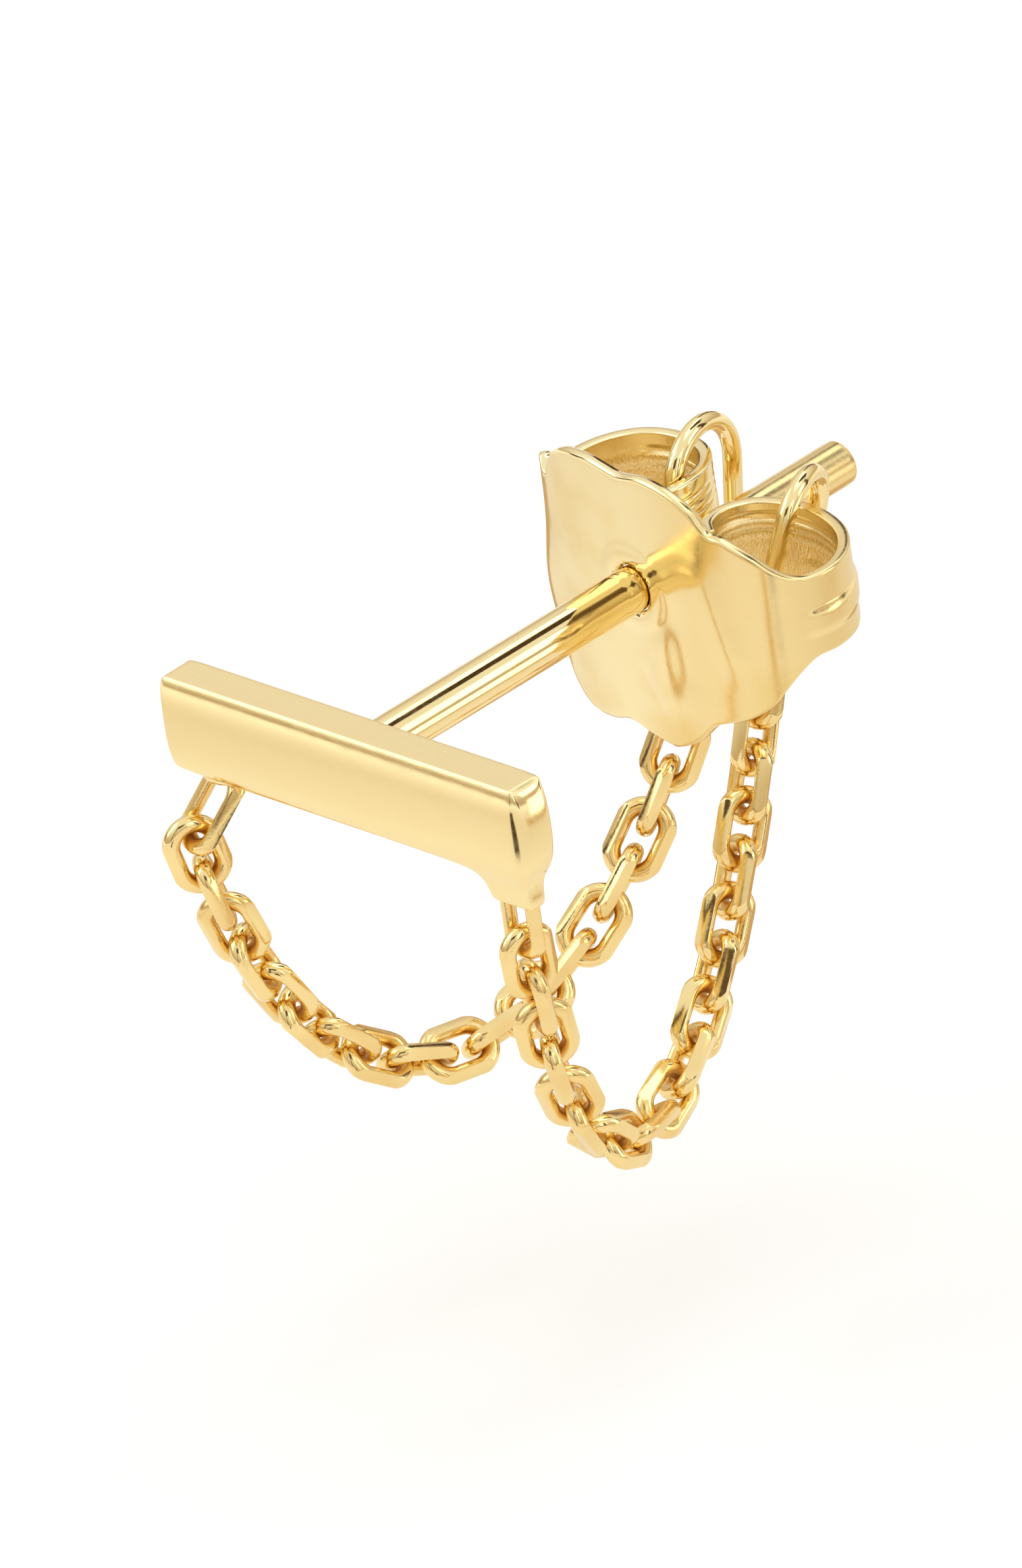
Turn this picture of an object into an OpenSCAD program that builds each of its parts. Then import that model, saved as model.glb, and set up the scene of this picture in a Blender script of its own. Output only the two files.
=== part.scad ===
// Chain drop earring: a polished bar on a straight post, a butterfly back, two wire rings in its
// scrolls, and two diamond-cut cable chains that hang from the bar's ends to the rings.
// The post runs along +Y from the bar's back face, +X is along the bar and +Z is up.

/* [Bar] */
// Length of the bar
bar_l = 8.25; // [6.5:0.05:12]
// Thickness of the bar, front to back
bar_d = 0.84; // [0.7:0.02:1.2]
// Height of the bar
bar_h = 1.74; // [1.4:0.02:2.2]
// Radius of the bar's softened edges
bar_edge = 0.15; // [0.06:0.01:0.25]
// How far the post sits above the bar's mid height
post_rise = 0.24; // [0:0.02:0.4]

/* [Post] */
// Diameter of the post wire
post_d = 0.8; // [0.7:0.05:0.9]
// Length of the post behind the bar
post_l = 11.5; // [10.5:0.1:13]
// Edge chamfer at the tip of the post
tip_chamfer = 0.08; // [0.04:0.01:0.15]

/* [Butterfly back] */
// Thickness of the butterfly's sheet metal
sheet = 0.22; // [0.18:0.01:0.28]
// Diameter of the hole that the post goes through
hole_d = 0.93; // [0.92:0.01:1.0]
// Diameter of the pressed boss round the hole
boss_d = 1.5; // [1.3:0.05:1.8]
// How far the boss stands forward of the plate
boss_raise = 0.05; // [0.03:0.01:0.1]
// Height of the raised rib that runs round each wing
rib_h = 0.42; // [0.3:0.02:0.6]
// How far the rib stands out of the wing
rib_raise = 0.09; // [0.05:0.01:0.12]

/* [Rings] */
// Diameter of the ring wire
ring_wire = 0.33; // [0.28:0.01:0.36]
// Radius of the left ring's round ends, at the middle of the wire
ring_left_bend = 0.91; // [0.89:0.01:0.94]
// Length of the left ring's straight sides
ring_left_side = 2.2; // [2.15:0.05:2.3]
// Radius of the right ring's round ends, at the middle of the wire
ring_right_bend = 0.8; // [0.78:0.01:0.86]
// Length of the right ring's straight sides
ring_right_side = 1.9; // [1.85:0.05:2]

/* [Chains] */
// Outer length of a link
link_l = 1.49; // [1.48:0.01:1.52]
// Outer width of a link
link_w = 1.08; // [1.06:0.01:1.12]
// Diameter of the link wire
wire = 0.31; // [0.28:0.01:0.32]
// Depth of the diamond cuts on a link's legs
cut = 0.055; // [0.03:0.005:0.07]
// Number of links in the chain from the bar's left end
links_left = 20; // [20:1:22]
// Number of links in the chain from the bar's right end
links_right = 19; // [19:1:21]
// How far the chains hang forward of straight down, in degrees
hang_lean = 10; // [0:1:12]

/* [Hidden] */
PIECES = ["bar_stud", "butterfly_back", "ring_left", "ring_right"];
LINKS_L = [for (k = [1:links_left]) str("link_left_", k < 10 ? "0" : "", k)];
LINKS_R = [for (k = [1:links_right]) str("link_right_", k < 10 ? "0" : "", k)];
$fn = 48;

GOLD = [0.93, 0.76, 0.36];
GOLD_PALE = [0.96, 0.83, 0.50];
GOLD_DEEP = [0.88, 0.69, 0.28];

// Play left between two links that hang in each other
play = 0.06;
pitch = link_l - 2 * wire - play;
bar_z = -post_rise;
bar_floor = bar_z - bar_h / 2;

// Soldered end loops of the bar: length, centre, how far the lower end leans out, turn about Z
loop_y = -bar_d / 2;
loop_left_l = 1.75;
loop_left_at = [-bar_l / 2 + 0.66, loop_y - 0.13, bar_floor - 0.69];
loop_left_lean = 34;
loop_left_turn = -38;
loop_right_l = 2.3;
loop_right_at = [bar_l / 2 - 0.56, loop_y, bar_floor - 0.53];

// Neck of solder at the bar's right end, seen from the front: x from that end, z from the underside
NECK = [
    // x, z
    [-1.50, 0.10], [-1.50, 0.02], [-1.28, -0.05], [-1.17, -0.14], [-1.13, -0.28], [-1.11, -0.50],
    [-1.05, -0.66], [-0.80, -0.62], [-0.56, -0.58], [-0.32, -0.62], [-0.10, -0.66], [-0.05, -0.45],
    [-0.03, -0.20], [-0.06, 0.10]
];
// Half of the neck's thickness at heights from the underside
NECK_DEPTH = [
    // depth, z
    [0.36, 0.10], [0.36, -0.02], [0.32, -0.18], [0.25, -0.34], [0.20, -0.50], [0.18, -0.70]
];

// Butterfly: the middle line of the sheet seen from above, from the left wing's inner end,
// round the left scroll, across the front plate and round the right scroll
PLAN = [
    // x, y
    [-0.86, 7.78], [-0.60, 8.05], [-0.56, 8.55], [-0.72, 9.10], [-1.15, 9.50], [-1.80, 9.62],
    [-2.40, 9.44], [-2.80, 8.98], [-2.96, 8.35], [-2.90, 7.72], [-2.58, 7.26], [-2.00, 6.96],
    [-1.10, 6.70], [0.00, 6.55], [1.20, 6.46], [2.20, 6.46], [2.95, 6.60], [3.42, 6.95],
    [3.58, 7.50], [3.40, 8.10], [2.90, 8.62], [2.20, 8.90], [1.45, 8.92], [0.85, 8.66],
    [0.57, 8.20], [0.64, 7.72], [0.98, 7.42]
];
// Butterfly: the outline of the front plate seen from the front, clockwise from the top
PLATE = [
    // x, z
    [-0.05, 2.13], [0.45, 2.22], [1.05, 2.17], [1.62, 1.95], [1.98, 1.60], [2.30, 1.55],
    [2.85, 1.32], [3.35, 0.98], [3.95, 0.90], [4.10, 0.10], [3.95, -0.66], [3.30, -0.98],
    [2.95, -1.45], [2.45, -1.82], [1.95, -2.02], [1.60, -2.18], [1.15, -2.58], [0.60, -2.86],
    [0.00, -2.84], [-0.60, -2.72], [-1.10, -2.86], [-1.75, -2.88], [-2.30, -2.50],
    [-2.60, -1.75], [-2.78, -1.00], [-2.95, -0.72], [-3.60, -0.60], [-3.70, 0.20],
    [-3.60, 0.95], [-2.85, 1.22], [-2.55, 1.25], [-2.30, 1.50], [-1.95, 1.88], [-1.50, 2.12],
    [-0.90, 2.20], [-0.40, 2.16]
];
strip_left = [-0.60, 0.95];   // lowest and highest z of the left wing
strip_right = [-0.60, 0.88];  // lowest and highest z of the right wing
plan_steps = 5;
plate_steps = 3;
plate_front_y = 6.44;

// Rings: middle of the ring, direction in which it hangs, direction it faces
RING_LEFT = [[-1.061, 9.182, -0.582], [-0.005, -0.141, -0.990], [0.981, 0.190, -0.032]];
RING_RIGHT = [[1.380, 8.664, -0.388], [-0.060, -0.444, -0.894], [0.914, 0.337, -0.228]];

down = [0, -sin(hang_lean), -cos(hang_lean)];

function unit(v) = v / norm(v);
function sinh(x) = (exp(x) - exp(-x)) / 2;
function cosh(x) = (exp(x) + exp(-x)) / 2;
function asinh(x) = ln(x + sqrt(x * x + 1));
function atanh(x) = ln((1 + x) / (1 - x)) / 2;

// Point on a smooth curve between b and c, with neighbours a and d
function spline(a, b, c, d, t) =
    0.5 * (2 * b + (c - a) * t + (2 * a - 5 * b + 4 * c - d) * t * t + (3 * b - a - 3 * c + d) * t * t * t);

// Smooth open curve through all knots
function open_curve(k, steps) = let (n = len(k)) concat(
    [for (i = [0:n - 2], s = [0:steps - 1])
        spline(k[max(i - 1, 0)], k[i], k[i + 1], k[min(i + 2, n - 1)], s / steps)],
    [k[n - 1]]);

// Smooth closed curve through all knots
function closed_curve(k, steps) = let (n = len(k))
    [for (i = [0:n - 1], s = [0:steps - 1])
        spline(k[(i + n - 1) % n], k[i], k[(i + 1) % n], k[(i + 2) % n], s / steps)];

// Left-hand normal of an open curve at point i
function side(c, i) = let (d = unit(c[min(i + 1, len(c) - 1)] - c[max(i - 1, 0)])) [-d[1], d[0]];

// Band along part of a curve, between two distances to its left
function band(c, from, to, near, far) = concat(
    [for (i = [from:to]) c[i] + far * side(c, i)],
    [for (i = [to:-1:from]) c[i] + near * side(c, i)]);

// Width parameter of a hanging curve: solves sinh(x) / x = ratio by halving
function halve(ratio, lo, hi, n) = let (mid = (lo + hi) / 2)
    n == 0 ? mid : sinh(mid) / mid > ratio ? halve(ratio, lo, mid, n - 1) : halve(ratio, mid, hi, n - 1);

// Points at equal steps along a curve of the given length that hangs from one end to the other
function hang(from, to, length, n) =
    let (span = to - from,
         rise = -span * down,
         flat = span - (span * down) * down,
         width = norm(flat),
         x = halve(sqrt(length * length - rise * rise) / width, 0.001, 20, 50),
         a = width / (2 * x),
         low = width / 2 - a * atanh(rise / length))
    [for (k = [0:n])
        let (u = low + a * asinh(k * length / n / a - sinh(low / a)))
        from + u * unit(flat) - a * (cosh((u - low) / a) - cosh(low / a)) * down];

// Middle of the wire at the lower end of a ring, and of a loop
function ring_low(r, bend, side) = r[0] + (side / 2 + bend) * unit(r[1]);
function loop_low(at, length, lean, turn) =
    at + (length - wire) / 2 * [sin(lean) * sin(turn), -sin(lean) * cos(turn), -cos(lean)];
// Direction in which a chain of n links leaves its first point
function leaving(from, to, n) = let (j = hang(from, to, n * pitch, n)) unit(j[1] - j[0]);
// Points between the n links of a chain that hangs from the wire of a loop to the wire of a ring
function chain_joints(loop, ring, n) =
    hang(loop - (wire + play) / 2 * leaving(loop, ring, n),
         ring - (ring_wire + play) / 2 * leaving(ring, loop, n), n * pitch, n);

// Twist of a chain about its own length: at the first link, in the middle and at the last link
LEFT_TWIST = [14, 50, 45];
RIGHT_TWIST = [30, 58, 78];
function twist(t, k, n) =
    t[1] + (t[0] - t[1]) * max(0, 1 - (k - 1) / 3) + (t[2] - t[1]) * max(0, 1 - (n - k) / 3);

left_joints = chain_joints(loop_low(loop_left_at, loop_left_l, loop_left_lean, loop_left_turn),
                           ring_low(RING_LEFT, ring_left_bend, ring_left_side), links_left);
right_joints = chain_joints(loop_low(loop_right_at, loop_right_l, 0, 0),
                            ring_low(RING_RIGHT, ring_right_bend, ring_right_side), links_right);

// Flat rectangle with round corners
module round_rect(w, h, r) {
    square([w - 2 * r, h], center = true);
    square([w, h - 2 * r], center = true);
    for (x = [-1, 1], y = [-1, 1])
        translate([x * (w / 2 - r), y * (h / 2 - r)]) circle(r);
}

// Long ring of round wire in the XZ plane: bend is the end radius, side the straight length
module wire_ring(bend, side, d) {
    for (s = [-1, 1]) {
        translate([0, 0, s * side / 2]) rotate([90, 0, 0]) intersection() {
            rotate_extrude() translate([bend, 0]) circle(d = d);
            translate([0, s * (bend + d), 0])
                cube([4 * (bend + d), 2 * (bend + d), 2 * d], center = true);
        }
        translate([s * bend, 0, 0]) cylinder(h = side, d = d, center = true);
    }
}

// Diamond-cut link along Z, flat in the XZ plane, with four cuts that meet at an outer ridge
module link(length, width, d, depth) {
    bend = (width - d) / 2;
    across = sqrt(2) * bend + d - 2 * depth;
    intersection() {
        wire_ring(bend, length - width, d);
        rotate(45) cube([across, across, 2 * length], center = true);
    }
}

// Puts a child that lies along Z, flat in XZ, along the axis with its flat side facing dir
module aim(at, axis, dir) {
    z = unit(axis);
    y = unit(dir - (dir * z) * z);
    x = cross(y, z);
    multmatrix([[x[0], y[0], z[0], at[0]], [x[1], y[1], z[1], at[1]], [x[2], y[2], z[2], at[2]]])
        children();
}

// Polished bar: three crossed prisms leave round edges all along
module bar() {
    translate([0, -bar_d / 2, bar_z]) intersection() {
        linear_extrude(bar_h, center = true) round_rect(bar_l, bar_d, bar_edge);
        rotate([90, 0, 0]) linear_extrude(bar_d, center = true) round_rect(bar_l, bar_h, 1.6 * bar_edge);
        rotate([90, 0, 90]) linear_extrude(bar_l, center = true) round_rect(bar_d, bar_h, bar_edge);
    }
}

module post() {
    translate([0, -bar_d / 2, 0]) rotate([-90, 0, 0]) {
        cylinder(h = bar_d / 2 + post_l - tip_chamfer, d = post_d);
        translate([0, 0, bar_d / 2 + post_l - tip_chamfer])
            cylinder(h = tip_chamfer, d1 = post_d, d2 = post_d - 2 * tip_chamfer);
    }
}

// End loop, soldered under the bar
module end_loop(at, length, lean, turn) {
    translate(at) rotate([-lean, 0, turn]) link(length, link_w, wire, cut);
}

// Cone of solder on top of the left loop
module solder_foot() {
    translate([loop_left_at[0] + 0.3, loop_y, bar_floor - 0.25]) cylinder(h = 0.3, r1 = 0.28, r2 = 0.36);
}

// Neck that the bar's right end narrows to, down to the legs of the right loop
module solder_neck() {
    half = [for (p = NECK_DEPTH) [-p[0], p[1]]];
    intersection() {
        translate([bar_l / 2, loop_y, bar_floor]) rotate([90, 0, 0])
            linear_extrude(bar_d, center = true) polygon(NECK);
        translate([bar_l / 2 - 1.6, loop_y, bar_floor]) rotate([90, 0, 90])
            linear_extrude(1.6) polygon(concat(NECK_DEPTH, [for (i = [len(half) - 1:-1:0]) half[i]]));
    }
}

module bar_stud() {
    color(GOLD) union() {
        bar();
        post();
        end_loop(loop_left_at, loop_left_l, loop_left_lean, loop_left_turn);
        end_loop(loop_right_at, loop_right_l, 0, 0);
        solder_foot();
        solder_neck();
    }
}

plan = open_curve(PLAN, plan_steps);
plan_end = len(plan) - 1;
// Region seen from above that holds the front plate and not the wings' inner ends
FRONT = [[-3.7, 5.5], [4.3, 5.5], [4.3, 6.95], [-3.7, 7.75]];
wing_z = [strip_left, strip_right];

// Outline of the plate as a prism along the post
module plate_block() {
    intersection() {
        translate([0, 9, 0]) rotate([90, 0, 0]) linear_extrude(4) polygon(closed_curve(PLATE, plate_steps));
        translate([0, 0, -4]) linear_extrude(8) polygon(FRONT);
    }
}

// Height band of the wings, behind the front plate
module wing_block() {
    difference() {
        for (s = [0, 1])
            translate([s * 5 - 5, 5, wing_z[s][0]]) cube([5, 6, wing_z[s][1] - wing_z[s][0]]);
        translate([0, 0, -4]) linear_extrude(8) polygon(FRONT);
    }
}

// Raised rib round the outside of one wing, on the curve from one point to another
module rib(from, to, z) {
    translate([0, 0, z - rib_h / 2]) linear_extrude(rib_h)
        polygon(band(plan, from, to, sheet / 4, sheet / 2 + rib_raise));
}

module butterfly_back() {
    color(GOLD_PALE) difference() {
        union() {
            intersection() {
                translate([0, 0, -4]) linear_extrude(8) polygon(band(plan, 0, plan_end, -sheet / 2, sheet / 2));
                union() {
                    plate_block();
                    wing_block();
                }
            }
            rib(4 * plan_steps, 10 * plan_steps, 0.15);
            rib(17 * plan_steps, 22 * plan_steps, 0.02);
            translate([0, plate_front_y - boss_raise, 0]) rotate([-90, 0, 0])
                cylinder(h = boss_raise + sheet / 2, d = boss_d);
        }
        translate([0, plate_front_y - 1, 0]) rotate([-90, 0, 0]) cylinder(h = 1.6, d = hole_d);
    }
}

module ring(r, bend, side) {
    color(GOLD) aim(r[0], r[1], r[2]) wire_ring(bend, side, ring_wire);
}

// One link of a chain, twisted about its own length; every other link stands across its neighbours
module chain_link(joints, k, twists) {
    n = len(joints) - 1;
    axis = unit(joints[k] - joints[k - 1]);
    flat = unit(cross(down, joints[n] - joints[0]));
    a = twist(twists, k, n) + (k % 2 == 0 ? 90 : 0);
    color(GOLD_DEEP)
        aim((joints[k] + joints[k - 1]) / 2, axis, cos(a) * flat + sin(a) * cross(axis, flat))
            link(link_l, link_w, wire, cut);
}

bar_stud();
butterfly_back();
ring(RING_LEFT, ring_left_bend, ring_left_side);  // ring_left
ring(RING_RIGHT, ring_right_bend, ring_right_side);  // ring_right
for (k = [1:links_left])
    chain_link(left_joints, k, LEFT_TWIST);
for (k = [1:links_right])
    chain_link(right_joints, k, RIGHT_TWIST);
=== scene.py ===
# %% [markdown]
# # A chain drop earring
# A slim gold bar sits in front of the ear lobe on a straight post. A butterfly back closes behind
# the lobe, and two fine diamond-cut chains hang from the bar's ends to wire rings in the
# butterfly's scrolls. The solids are already packed as a fixed frame, so every piece here takes
# its place from them. We first load that frame.

# %% Load the frame
import math
import bpy
import numpy as np
from mathutils import Matrix, Vector


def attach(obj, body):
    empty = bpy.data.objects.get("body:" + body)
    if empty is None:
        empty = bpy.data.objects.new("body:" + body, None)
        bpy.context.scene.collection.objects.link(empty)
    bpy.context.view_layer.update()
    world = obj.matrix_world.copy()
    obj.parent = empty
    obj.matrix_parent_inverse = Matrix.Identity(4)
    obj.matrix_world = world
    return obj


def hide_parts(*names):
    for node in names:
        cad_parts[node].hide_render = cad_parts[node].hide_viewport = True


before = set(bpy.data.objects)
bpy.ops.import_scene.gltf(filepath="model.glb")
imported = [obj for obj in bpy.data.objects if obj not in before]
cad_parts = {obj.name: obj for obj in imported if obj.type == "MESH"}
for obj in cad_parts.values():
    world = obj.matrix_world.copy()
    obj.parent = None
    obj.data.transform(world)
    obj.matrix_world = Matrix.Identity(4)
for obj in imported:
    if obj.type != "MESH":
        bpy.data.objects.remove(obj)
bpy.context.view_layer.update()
MM = 0.001
print("solids:", len(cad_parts))

# %% [markdown]
# ## Camera
# Small jewellery is photographed with a long lens, so its parallel edges stay parallel. An
# orthographic camera does the same. It looks from the front right and above, and is rolled by
# eight degrees, because the bar in the picture hangs a little askew.

# %% Set up the camera
SEEN_HEIGHT, LENS_AWAY = 26.15, 250
MIDDLE_RIGHT, MIDDLE_UP = 2.353, -0.580
right = Vector((0.7194, 0.6828, -0.1271)).normalized()
towards = Vector((0.6515, -0.6000, 0.4642)).normalized()
up = towards.cross(right).normalized()
right = up.cross(towards)
middle = (MIDDLE_RIGHT * right + MIDDLE_UP * up) * MM

eye = bpy.data.cameras.new("camera")
eye.type = "ORTHO"
eye.sensor_fit = "VERTICAL"
eye.ortho_scale = SEEN_HEIGHT * MM
eye.clip_start = 0.01
eye.clip_end = 3.0
camera = bpy.data.objects.new("camera", eye)
bpy.context.scene.collection.objects.link(camera)
turn = Matrix((right, up, towards)).transposed().to_4x4()
camera.matrix_world = Matrix.Translation(middle + LENS_AWAY * MM * towards) @ turn
bpy.context.scene.camera = camera
print("seen from top to bottom:", SEEN_HEIGHT, "mm")

# %% [markdown]
# ## Working at the bench
# Blender's modelling tools are tuned for things about a metre long, so a piece a few millimetres
# long is modelled a thousand times larger, one unit to the millimetre, and shrunk once it is
# done. These helpers select part of a mesh by its place, apply modifiers, and set a finished
# piece in its place.

# %% Helpers for modelling
def take(piece):
    """Makes a piece the only selected and active object."""
    bpy.ops.object.select_all(action="DESELECT")
    piece.select_set(True)
    bpy.context.view_layer.objects.active = piece
    return piece


def name_it(name):
    """Names the primitive that was just added, and its mesh."""
    piece = bpy.context.object
    piece.name = name
    piece.data.name = name
    return take(piece)


def choose(piece, kind, test):
    """Goes to edit mode with those vertices or faces selected whose middle passes the test."""
    if bpy.context.mode != "OBJECT":
        bpy.ops.object.mode_set(mode="OBJECT")
    mesh = piece.data
    bpy.context.tool_settings.mesh_select_mode = (kind == "VERT", False, kind == "FACE")
    for group in (mesh.vertices, mesh.edges, mesh.polygons):
        group.foreach_set("select", np.zeros(len(group), bool))
    if kind == "VERT":
        for vertex in mesh.vertices:
            vertex.select = bool(test(vertex.co))
    else:
        for face in mesh.polygons:
            face.select = bool(test(face.center, face.normal))
    bpy.ops.object.mode_set(mode="EDIT")


def done():
    """Leaves edit mode."""
    bpy.ops.object.mode_set(mode="OBJECT")


def cut(piece, at, normal, clear=False):
    """Adds an edge loop where a plane crosses the whole piece, or cuts off what is beyond it."""
    choose(piece, "VERT", lambda p: True)
    bpy.ops.mesh.bisect(plane_co=at, plane_no=normal, use_fill=clear, clear_outer=clear,
                        threshold=0.0001)
    done()


def finish_with(piece, kind, **settings):
    """Adds a modifier with the given settings and applies it."""
    modifier = piece.modifiers.new(kind.title(), kind)
    for key, value in settings.items():
        setattr(modifier, key, value)
    take(piece)
    bpy.ops.object.modifier_apply(modifier=modifier.name)


def smooth(piece, angle):
    """Shades a piece smooth, apart from edges sharper than the angle in degrees."""
    take(piece)
    bpy.ops.object.shade_smooth_by_angle(angle=math.radians(angle))


def lay(piece, at=(0, 0, 0), along=(0, 0, 1), facing=(0, -1, 0)):
    """Sets a piece modelled in millimetres in its place, with its Z along and its -Y facing."""
    z = Vector(along).normalized()
    y = -Vector(facing)
    y = (y - y.dot(z) * z).normalized()
    x = y.cross(z)
    piece.matrix_world = (Matrix.Scale(MM, 4) @ Matrix.Translation(at)
                          @ Matrix((x, y, z)).transposed().to_4x4())
    take(piece)
    bpy.ops.object.transform_apply(location=True, rotation=True, scale=True)


def fit(piece, material, slot, *nodes):
    """Gives a finished piece its material, and lets it ride and stand for nodes; the slot is not
    used.
    """
    if material is not None:
        piece.data.materials.clear()
        piece.data.materials.append(material)
    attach(piece, "root")
    if nodes:
        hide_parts(*nodes)
    print(piece.name, len(piece.data.polygons), "faces")


# %% [markdown]
# ## Gold
# Polished gold is all reflection: one metal colour, a little roughness, and very shallow waves
# left by the polishing wheel. Those waves bend the reflections and make it look worked by hand.
# A finer noise gives scratches and small pits. Some places are satin or matt, and amber shade is
# painted into the hollows of the links and onto the plate. One function makes every finish from
# these four facts.

# %% A gold finish
# Features a millimetre: dull patches, scratches and pits, and the slow waves of the wheel
PATCHES, GRAIN, WHEEL = 0.9, 14.0, 1.3


def gold(name, colour, deep, rough, rough_in, waves, pits, stretch=(1, 1, 1), finish_and_shade=None):
    """Gold that goes from one colour and roughness to the deep and inner ones as its mask rises.

    Waves and pits are depths in millimetres, and stretch draws the pits out along an axis.
    """
    material = bpy.data.materials.new(name)
    material.use_nodes = True
    nodes, links = material.node_tree.nodes, material.node_tree.links
    shader = nodes["Principled BSDF"]
    shader.inputs["Metallic"].default_value = 1.0
    place = nodes.new("ShaderNodeTexCoord").outputs["Object"]

    def noise(scale, detail, roughness=0.5, stretched=False):
        """Noise on the piece's own coordinates, with the scale in features a millimetre."""
        mapping = nodes.new("ShaderNodeMapping")
        mapping.inputs["Scale"].default_value = [
            scale / MM * (s if stretched else 1) for s in stretch]
        links.new(place, mapping.inputs["Vector"])
        texture = nodes.new("ShaderNodeTexNoise")
        texture.inputs["Scale"].default_value = 1.0
        texture.inputs["Detail"].default_value = detail
        texture.inputs["Roughness"].default_value = roughness
        links.new(mapping.outputs["Vector"], texture.inputs["Vector"])
        return texture.outputs["Fac"]

    def span(value, low, high, to_low, to_high):
        """Maps a value from one range to another, smoothly and within its ends."""
        ranged = nodes.new("ShaderNodeMapRange")
        ranged.interpolation_type = "SMOOTHSTEP"
        for key, number in zip(("From Min", "From Max", "To Min", "To Max"),
                               (low, high, to_low, to_high)):
            ranged.inputs[key].default_value = number
        links.new(value, ranged.inputs["Value"])
        return ranged.outputs["Result"]

    def sum_of(a, b, operation="ADD"):
        """Joins two values by adding them, or by another operation."""
        added = nodes.new("ShaderNodeMath")
        added.operation = operation
        links.new(a, added.inputs[0])
        links.new(b, added.inputs[1])
        return added.outputs[0]

    fine = noise(GRAIN, detail=4.0, roughness=0.65, stretched=True)
    mask = span(noise(PATCHES, detail=2.0), 0.35, 0.75, 0.0, 0.35)
    # The second mask adds satin and matt places, and painted shade on the plate and the links.
    if finish_and_shade is not None:
        mask = sum_of(mask, finish_and_shade(nodes, links, place, span), "MAXIMUM")
    tint = nodes.new("ShaderNodeMix")
    tint.data_type = "RGBA"
    tint.inputs["A"].default_value = (*colour, 1)
    tint.inputs["B"].default_value = (*deep, 1)
    links.new(mask, tint.inputs["Factor"])
    links.new(tint.outputs["Result"], shader.inputs["Base Color"])

    roughness = sum_of(span(mask, 0.0, 1.0, rough, rough_in), span(fine, 0.3, 0.8, -0.02, 0.06))
    links.new(roughness, shader.inputs["Roughness"])

    wave = nodes.new("ShaderNodeBump")
    wave.inputs["Strength"].default_value = 1.0
    wave.inputs["Distance"].default_value = waves * MM
    links.new(noise(WHEEL, detail=1.0), wave.inputs["Height"])
    pit = nodes.new("ShaderNodeBump")
    pit.inputs["Strength"].default_value = 1.0
    pit.inputs["Distance"].default_value = pits * MM
    links.new(sum_of(fine, span(mask, 0.0, 1.0, 0.35, 6.0), "MULTIPLY"), pit.inputs["Height"])
    links.new(wave.outputs["Normal"], pit.inputs["Normal"])
    links.new(pit.outputs["Normal"], shader.inputs["Normal"])
    return material


# %% [markdown]
# Some places are known from the mesh itself. The painted shade on the inner side of a link and on
# the plate, and the rolled scrolls, are marked with an attribute while they are modelled, and the
# end of the post and the top of the bar are found by their coordinates.

# %% Masks for painted shade and for the satin, matt and rolled places
def marked(name):
    """The mask that a piece carries as an attribute of its own."""
    def build(nodes, links, place, span):
        attribute = nodes.new("ShaderNodeAttribute")
        attribute.attribute_name = name
        return span(attribute.outputs["Fac"], 0.0, 1.0, 0.0, 1.0)
    return build


def beyond(axis, start, end, most):
    """A mask that rises along an axis from start to end in millimetres."""
    def build(nodes, links, place, span):
        split = nodes.new("ShaderNodeSeparateXYZ")
        links.new(place, split.inputs[0])
        return span(split.outputs[axis], start * MM, end * MM, 0.0, most)
    return build


# %% [markdown]
# The bar is satin on top and polished in front. The post is the brightest, apart from its end,
# which the file has left matt. The plate and the scrolls are one sheet: pale and smooth where the
# stamp pressed it, grainy where it was rolled, with shade painted over the plate's right half and
# round its hole. The cut links have amber shade painted on their insides.

# %% Mix the finishes
PALE, WARM = (0.955, 0.780, 0.400), (0.940, 0.720, 0.310)
SATIN, CREAMY = (0.955, 0.785, 0.430), (0.960, 0.820, 0.470)
STRAW, HONEY = (0.98, 0.84, 0.50), (0.97, 0.77, 0.38)
# The last two deep golds are painted shade: amber in the hollows of the links, ochre on the
# plate.
CUT_GOLD, SHADE_AMBER, SHADE_OCHRE = (0.950, 0.750, 0.350), (0.780, 0.460, 0.120), (0.830, 0.560, 0.150)

bar_gold = gold("bar gold", PALE, SATIN, rough=0.11, rough_in=0.34, waves=0.0040, pits=0.0006,
                stretch=(0.25, 1, 1), finish_and_shade=beyond("Z", start=0.50, end=0.60, most=1.0))
post_gold = gold("post gold", PALE, WARM, rough=0.05, rough_in=0.34, waves=0.0012, pits=0.0002,
                 stretch=(1, 0.8, 1), finish_and_shade=beyond("Y", start=8.6, end=9.8, most=0.6))
plate_gold = gold("plate gold", CREAMY, SHADE_OCHRE, rough=0.11, rough_in=0.32, waves=0.0090,
                  pits=0.0002, finish_and_shade=marked("painted_shade"))
scroll_gold = gold("scroll gold", STRAW, HONEY, rough=0.14, rough_in=0.24, waves=0.0060,
                   pits=0.0060, stretch=(1.6, 1.6, 0.5), finish_and_shade=marked("rolled"))
ring_gold = gold("ring gold", PALE, WARM, rough=0.06, rough_in=0.22, waves=0.0020, pits=0.0005)
chain_gold = gold("chain gold", CUT_GOLD, SHADE_AMBER, rough=0.10, rough_in=0.38, waves=0.0060,
                  pits=0.0020, finish_and_shade=marked("painted_shade"))
finishes = (bar_gold, post_gold, plate_gold, scroll_gold, ring_gold, chain_gold)
print("finishes:", ", ".join(finish.name for finish in finishes))

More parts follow.
